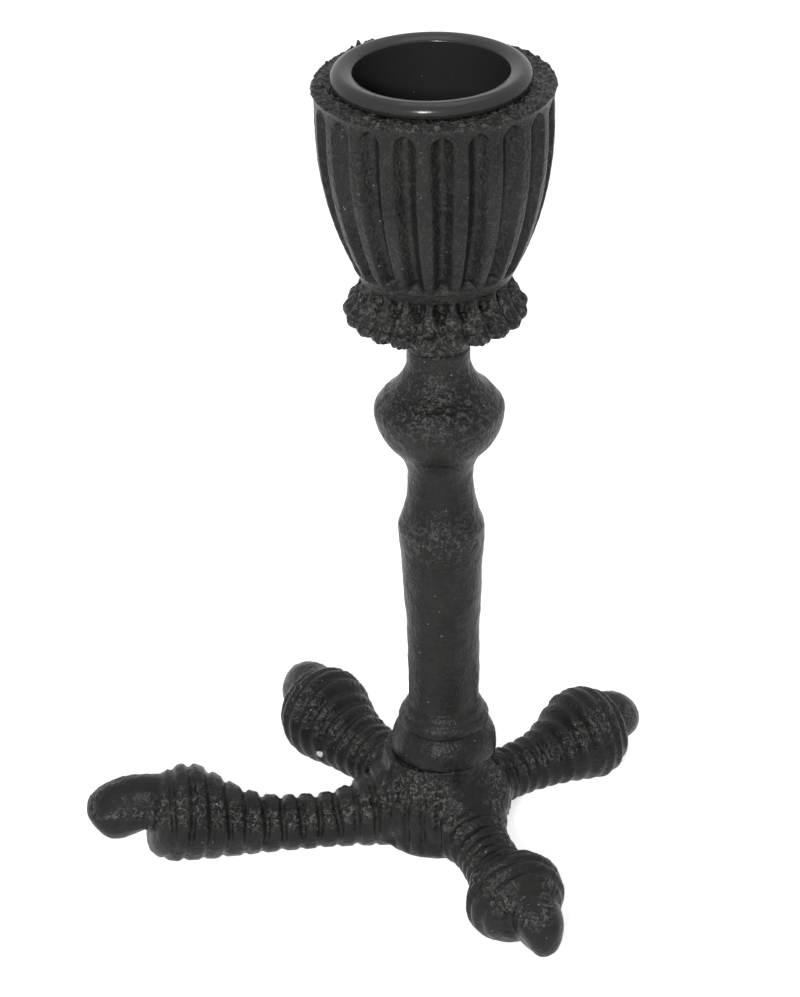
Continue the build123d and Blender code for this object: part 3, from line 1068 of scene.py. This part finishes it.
def flute_cut(radius, angle, height, depth):
    """How deep the flutes cut at a place on the bowl: a round slot with an arched top."""
    arch = rim_top - flute_top_margin - flute_top_half
    share = np.clip((height - flute_foot) / (arch - flute_foot), 0, 1)
    half = flute_foot_half + (flute_top_half - flute_foot_half) * share
    half = np.where(
        height > arch,
        np.sqrt(np.clip(flute_top_half**2 - (height - arch) ** 2, 0, None)),
        half * np.sqrt(np.clip((height - flute_foot) / 1.6, 0.05, 1)),
    )
    across = np.abs(radius * np.sin(off_centre(angle, flute_count, flute_first_angle)))
    inside = np.clip(1 - (across / np.maximum(half, 1e-6)) ** 2, 0, 1) ** 1.2
    fade = np.clip((height - flute_foot) / 1.5, 0, 1)
    return depth * inside * fade * (half > 0.05)


def lobe_lift(angle, height, depth):
    """How far the ruffle's lobes and their veins stand out."""
    down = np.clip((lobe_top - height) / (lobe_top - ruffle_edge), 0, 1)
    under = np.clip((height - ruffle_edge + ruffle_lip / 2 + 0.4) / 0.8, 0, 1)
    bend = 0.05 * np.sin(angle * 3 + 1.0) + 0.06 * down * np.cos(angle)
    place = off_centre(angle + bend, lobe_count, flute_first_angle) * lobe_count / (2 * pi)
    lobe = np.abs(np.sin(pi * place)) ** 0.7
    vein = vein_height * np.cos(2 * pi * place * lobe_veins) * np.clip(down * 3, 0, 1)
    return (depth * (lobe - 0.7) * np.clip(down * 1.3, 0, 1) + vein) * under


class HOLDER_OT_cup(bpy.types.Operator):
    """Builds the cup: twenty flutes round the bowl and a ruffle of veined lobes"""

    bl_idname = "holder.cup"
    bl_label = "Cup"

    def execute(self, context):
        sizes = context.scene.holder_sizes
        cup = skin("fluted_cup", turned(cup_outline(), flute_count * flute_columns))
        points = places(cup)
        normal = outward(cup)
        radius = np.hypot(points[:, 0], points[:, 1])
        angle = np.arctan2(points[:, 1], points[:, 0])
        height = points[:, 2]
        inside = radius < np.where(height > bowl_foot, pocket_radius, collar_radius) + 0.01
        cut_in = flute_cut(radius, angle, height, sizes.flute_depth / MM) * (height < rim_top - 0.1)
        lift = lobe_lift(angle, height, sizes.lobe_depth / MM) * (height < lobe_top)
        near_rim = np.clip(1 - (rim_top - height) / 0.8, 0, 1)
        rough = grain(points, 1.1, 4) * (bowl_roughness + rim_roughness * near_rim)
        off_flash = (angle - radians(rim_flash_heading)) / rim_flash_spread
        flash = np.exp(-(off_flash**2)) * near_rim * rim_flash_height
        flash = flash * (0.5 + 0.6 * grain(points, 0.8, 3, 3.0))
        off = np.where(inside, 0, lift - cut_in + rough)
        moved = points + normal * off[:, None]
        moved[:, 2] += np.where(inside, 0, flash)
        up_bowl = np.clip((height - ruffle_edge) / 8, 0, 1)
        lean = ruffle_shift + (bowl_shift - ruffle_shift) * up_bowl
        moved[:, 0] += np.where(inside, 0, lean)
        move_to(cup, moved)
        # Wear and painted glints: some over the bowl, more down the ruffle and at the rim.
        wear_and_glint = 0.22 + 0.4 * np.clip((bowl_foot + 1 - height) / 3, 0, 1) + near_rim * 0.5
        set_wear_and_glint(cup, np.clip(wear_and_glint, 0, 1))
        finish_piece(cup, shared_paint(context), "holder", "black_casting", "cup")
        return {"FINISHED"}


# Liner


class HOLDER_OT_liner(bpy.types.Operator):
    """Builds the spun liner with its rolled lip"""

    bl_idname = "holder.liner"
    bl_label = "Candle Liner"

    def execute(self, context):
        bore = candle_bore_radius
        floor = liner_foot + liner_wall
        corner = liner_bend * (1 - cos(pi / 4))
        edge = lip_radius - lip_inset
        lip_foot = rim_top + lip_gap
        start = (liner_radius - liner_bend, liner_foot)
        side_foot = (liner_radius, liner_foot + liner_bend)
        outline = path(
            start,
            (0.15, (liner_radius - corner, liner_foot + corner), side_foot),
            (1.0, (liner_radius, lip_foot)),
            (0.5, (edge - 0.25, lip_foot)),
            (0.15, (edge, rim_top + 0.25)),
            (0.12, (edge - 0.35, lip_top - 0.5), (edge - 1.3, lip_top)),
            (0.12, (bore + 1.1, lip_top - 0.12), (bore + 0.35, lip_top - 0.4)),
            (0.1, (bore + 0.1, lip_top - 0.55), (bore, lip_top - 0.85)),
            (1.0, (bore, floor + liner_bend)),
            (0.15, (bore - corner, floor + corner), (bore - liner_bend, floor)),
            (1.0, (0.2, floor)),
            (1.0, (0.06, floor)),
            (1.0, (axis_radius, floor)),
            (1.0, (axis_radius, liner_foot)),
            (1.0, (0.06, liner_foot)),
            (1.0, (0.2, liner_foot)),
            (1.0, start),
        )
        liner = skin("liner_cup", turned(outline, 192) + np.array([liner_shift, 0, 0]))
        finish_piece(liner, liner_gloss(context), "liner", "liner_paint", "candle_liner")
        return {"FINISHED"}


# Fixings


def ring_at(radius, angles, level):
    """One ring at a level, its radius given for each angle."""
    return np.stack([radius * np.cos(angles), radius * np.sin(angles), level + 0 * angles], -1)


def threaded_rings(radius, depth, foot, top, columns=32, rows_per_turn=6):
    """Rings of a screw thread between two levels, open at both ends."""
    angles = np.arange(columns) * 2 * pi / columns
    levels = np.arange(foot, top + 0.01, thread_pitch / rows_per_turn)
    levels[-1] = top
    rings = []
    for level in levels:
        turn = (level / thread_pitch - angles / (2 * pi)) % 1
        out = radius - depth * (1 - np.abs(2 * turn - 1))
        rings.append(ring_at(out, angles, level))
    return rings


class HOLDER_OT_fixings(bpy.types.Operator):
    """Builds the tie rod, the washers and the nuts"""

    bl_idname = "holder.fixings"
    bl_label = "Tie Rod and Fixings"

    def execute(self, context):
        zinc = zinc_plate(context)
        rod_rings = threaded_rings(rod_radius, 0.4, rod_foot, rod_top)
        for end, level in ((0, rod_foot), (-1, rod_top)):
            rod_rings[end] = rod_rings[end] * np.array([0.86, 0.86, 1])
        pieces = {"tie_rod": skin("threaded_rod", rod_rings, closed=False)}
        for node in ("top_nut", "bottom_nut"):
            rings = nut_rings(cad_level(node, 0), cad_level(node, 1))
            pieces[node] = skin(node + "_cut", rings)
        for node in ("top_washer", "bottom_washer"):
            outline = washer_outline(cad_radius(node), cad_level(node, 0), cad_level(node, 1))
            pieces[node] = skin(node + "_ring", turned(outline, 96))
        levels = cad_level("lock_washer", 0), cad_level("lock_washer", 1)
        rings = split_ring(cad_radius("lock_washer"), *levels)
        pieces["lock_washer"] = skin("lock_washer_ring", rings, closed=False)
        for node, piece in pieces.items():
            finish_piece(piece, zinc, "holder", "steel_fixing", node)
        return {"FINISHED"}


def nut_rings(foot, top):
    """Closed rings of a hexagon nut with chamfered corners and a threaded bore."""
    columns = 96
    angles = np.arange(columns) * 2 * pi / columns
    flat = nut_across_flats / 2 / np.cos(off_centre(angles, 6, 0))
    rings = []
    for level in np.linspace(foot, top, 13):
        edge = min(level - foot, top - level)
        out = np.minimum(flat, nut_across_flats / 2 - 0.1 + edge * 1.8)
        rings.append(ring_at(out, angles, level))
    bore = threaded_rings(nut_bore_radius, 0.35, foot, top, columns)
    chamfered = [ring.copy() for ring in bore]
    chamfered[0][:, :2] *= 1.12
    chamfered[-1][:, :2] *= 1.12
    return rings + chamfered[::-1]


def washer_outline(radius, foot, top):
    """Outline of a stamped washer, rounded at its upper edge."""
    soft = 0.15
    outline = run((washer_hole_radius, foot), (radius - soft, foot), 0.6)
    outline += [(radius - soft * 0.3, foot + soft * 0.3), (radius, foot + soft)]
    outline += [(radius, top - soft), (radius - soft * 0.3, top - soft * 0.3)]
    outline += run((radius - soft, top), (washer_hole_radius + soft, top), 0.6)
    outline += [(washer_hole_radius, top - soft), (washer_hole_radius, foot + soft)]
    return outline


def split_ring(radius, foot, top):
    """Open rings of a spring washer: its section swept from one side of the slit to the other."""
    slit = 0.8
    half_gap = asin(slit / 2 / washer_hole_radius)
    section = [
        (washer_hole_radius, foot),
        (washer_hole_radius, top),
        (radius, top),
        (radius, foot),
    ]
    rings = []
    for angle in np.linspace(-pi / 2 + half_gap, 3 * pi / 2 - half_gap, 73):
        rings.append([(r * cos(angle), r * sin(angle), z) for r, z in section])
    return rings


# Stage


def add_lamp(name, power, size, position):
    """A square soft lamp that faces the middle of the holder."""
    data = bpy.data.lights.new(name, "AREA")
    data.energy = power
    data.size = size
    lamp = bpy.data.objects.new(name, data)
    bpy.context.scene.collection.objects.link(lamp)
    lamp.location = position
    aim = Vector(lamp_aim) - lamp.location
    lamp.rotation_mode = "QUATERNION"
    lamp.rotation_quaternion = aim.to_track_quat("-Z", "Y")


class HOLDER_OT_stage(bpy.types.Operator):
    """Makes the floor, the lamps, the white surround and the camera"""

    bl_idname = "holder.stage"
    bl_label = "Studio"

    def execute(self, context):
        scene = context.scene
        studio = scene.holder_studio
        corners = [
            (x * floor_half, y * floor_half, -floor_drop)
            for x, y in ((-1, -1), (1, -1), (1, 1), (-1, 1))
        ]
        mesh = bpy.data.meshes.new("floor")
        mesh.from_pydata(corners, [], [(0, 1, 2, 3)])
        floor = bpy.data.objects.new("floor", mesh)
        scene.collection.objects.link(floor)
        mesh.materials.append(white_floor(context))
        world = bpy.data.worlds.new("white_surround")
        world.use_nodes = True
        scene.world = world
        make = Nodes(world.node_tree)
        strength = seen_directly(make, studio.sky, 1.0)
        sky = make.add("ShaderNodeBackground", {"Color": (1, 1, 1, 1), "Strength": strength})
        make.add("ShaderNodeOutputWorld", {"Surface": sky.outputs[0]})
        add_lamp("key", studio.key_power, key_size, key_place)
        add_lamp("top", studio.top_power, top_size, top_place)
        scene.camera = photo_camera(scene)
        scene.view_settings.view_transform = "Standard"
        return {"FINISHED"}


def photo_camera(scene):
    """The camera at the photograph's place, with its small roll."""
    pitch, roll = radians(camera_pitch), radians(camera_roll)
    forward = Vector((0, cos(pitch), -sin(pitch)))
    right = Vector((1, 0, 0))
    above = right.cross(forward)
    rolled_right = right * cos(roll) + above * sin(roll)
    rolled_up = above * cos(roll) - right * sin(roll)
    position = (Vector(camera_target) - forward * camera_distance) * MM
    data = bpy.data.cameras.new("photo_camera")
    data.sensor_width = sensor_width
    data.lens = focal_pixels * sensor_width / image_height
    data.clip_start, data.clip_end = 0.01, 20.0
    camera = bpy.data.objects.new("photo_camera", data)
    scene.collection.objects.link(camera)
    turn = Matrix((rolled_right, rolled_up, -forward)).transposed()
    camera.matrix_world = Matrix.Translation(position) @ turn.to_4x4()
    return camera


class HOLDER_PT_panel(bpy.types.Panel):
    """Lists the sizes, the colours and the builders"""

    bl_label = "Candle Holder"
    bl_idname = "HOLDER_PT_panel"
    bl_space_type = "VIEW_3D"
    bl_region_type = "UI"
    bl_category = "Candle Holder"

    def draw(self, context):
        layout = self.layout
        scene = context.scene
        for group in (scene.holder_sizes, scene.holder_finish, scene.holder_studio):
            box = layout.box()
            for name in group.__annotations__:
                box.prop(group, name)
        for operator in operators:
            layout.operator(operator.bl_idname)


operators = (
    HOLDER_OT_stage,
    HOLDER_OT_foot,
    HOLDER_OT_column,
    HOLDER_OT_cup,
    HOLDER_OT_liner,
    HOLDER_OT_fixings,
)
classes = (HolderSizes, HolderFinish, HolderStudio, *operators, HOLDER_PT_panel)


def register():
    """Adds the groups, the operators and the panel."""
    for each in classes:
        bpy.utils.register_class(each)
    bpy.types.Scene.holder_sizes = bpy.props.PointerProperty(type=HolderSizes)
    bpy.types.Scene.holder_finish = bpy.props.PointerProperty(type=HolderFinish)
    bpy.types.Scene.holder_studio = bpy.props.PointerProperty(type=HolderStudio)


def unregister():
    """Takes them away again."""
    del bpy.types.Scene.holder_studio
    del bpy.types.Scene.holder_finish
    del bpy.types.Scene.holder_sizes
    for each in reversed(classes):
        bpy.utils.unregister_class(each)


def main():
    """Builds the whole holder."""
    register()
    bpy.ops.holder.stage()
    bpy.ops.holder.foot()
    bpy.ops.holder.column()
    bpy.ops.holder.cup()
    bpy.ops.holder.liner()
    bpy.ops.holder.fixings()


if __name__ == "__main__":
    main()
